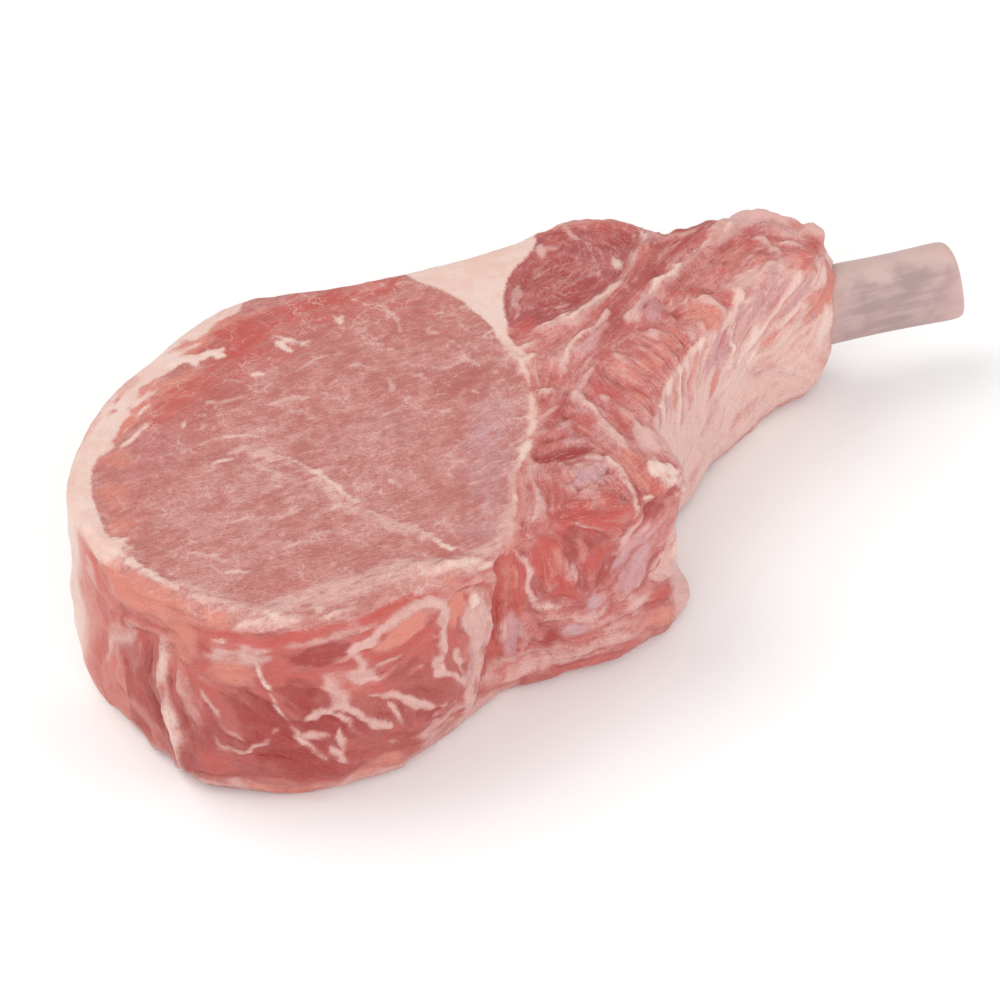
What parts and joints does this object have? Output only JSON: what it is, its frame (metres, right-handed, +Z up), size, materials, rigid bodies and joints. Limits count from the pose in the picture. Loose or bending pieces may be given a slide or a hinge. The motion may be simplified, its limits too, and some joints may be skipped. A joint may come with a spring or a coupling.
{
  "type": "raw pork chop",
  "caption": "Thick raw bone-in pork rib chop lying flat: a pale loin eye, a fat edge, a dark cap muscle, streaky rib meat and a bare trimmed rib as a handle",
  "frame": {"origin": "Middle of the chop's box in plan, on the board that it lies on", "axes": "+X along the bare rib towards its sawn tip, +Y towards the back edge with the fat and the dark cap muscle, +Z up out of the upper cut face"},
  "size_m": [0.1878, 0.097, 0.039],
  "materials": {
    "eye_lean": "moist raw lean, fine grain, soft sheen",
    "fat": "waxy pale fat, soft sheen",
    "seam_fat": "waxy pale fat, soft sheen",
    "dark_lean": "moist dark raw lean, soft sheen",
    "streaky_lean": "moist raw lean with fat streaks",
    "chine_lean": "moist raw lean with membrane",
    "bone": "scraped bone with thin film, satin"
  },
  "bodies": {
    "root": {"eye_muscle": "eye_lean", "fat_cap": "fat", "seam_fat": "seam_fat", "cap_muscle": "dark_lean", "rib_meat": "streaky_lean", "chine_muscle": "chine_lean", "rib_bone": "bone"}
  },
  "joints": []
}
